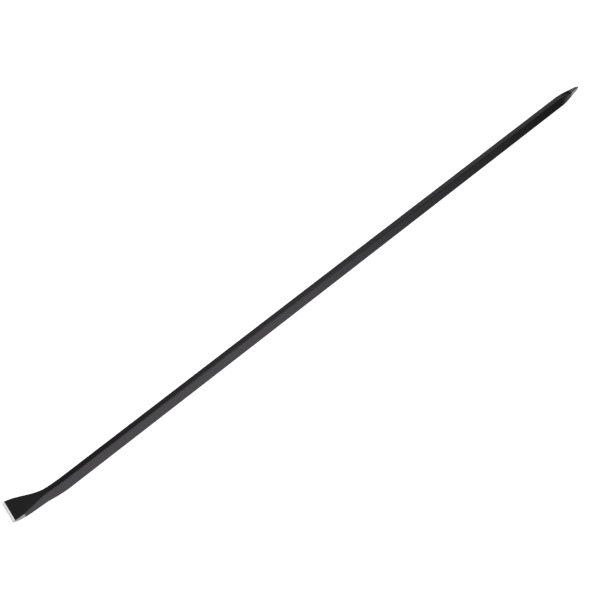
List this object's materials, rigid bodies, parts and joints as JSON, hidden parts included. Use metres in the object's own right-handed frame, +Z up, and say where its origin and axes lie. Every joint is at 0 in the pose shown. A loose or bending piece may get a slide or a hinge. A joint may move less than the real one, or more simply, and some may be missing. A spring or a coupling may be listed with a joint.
{
  "type": "digging and pry bar",
  "caption": "Long square steel pry bar in black lacquer: wide chisel blade set up slightly at one end, four-sided ground point at the other, bright bare working tips.",
  "frame": {"origin": "on the resting plane, under the middle of the overall length and on the bar's centre line", "axes": "+X from the chisel edge to the point, +Z up with the shank lying flat and the blade set up, +Y completes the frame"},
  "size_m": [1.524, 0.0744, 0.0339],
  "materials": {
    "lacquer": "semi-gloss black lacquer over forged steel",
    "ground_steel": "ground bright, fine grinding lines"
  },
  "bodies": {
    "root": {"shank": "lacquer", "chisel_neck": "lacquer", "chisel_blade": "lacquer", "edge_root": "lacquer", "cutting_bevel": "ground_steel", "point_shoulder": "lacquer", "point_taper": "lacquer", "point_tip": "ground_steel"}
  },
  "joints": []
}
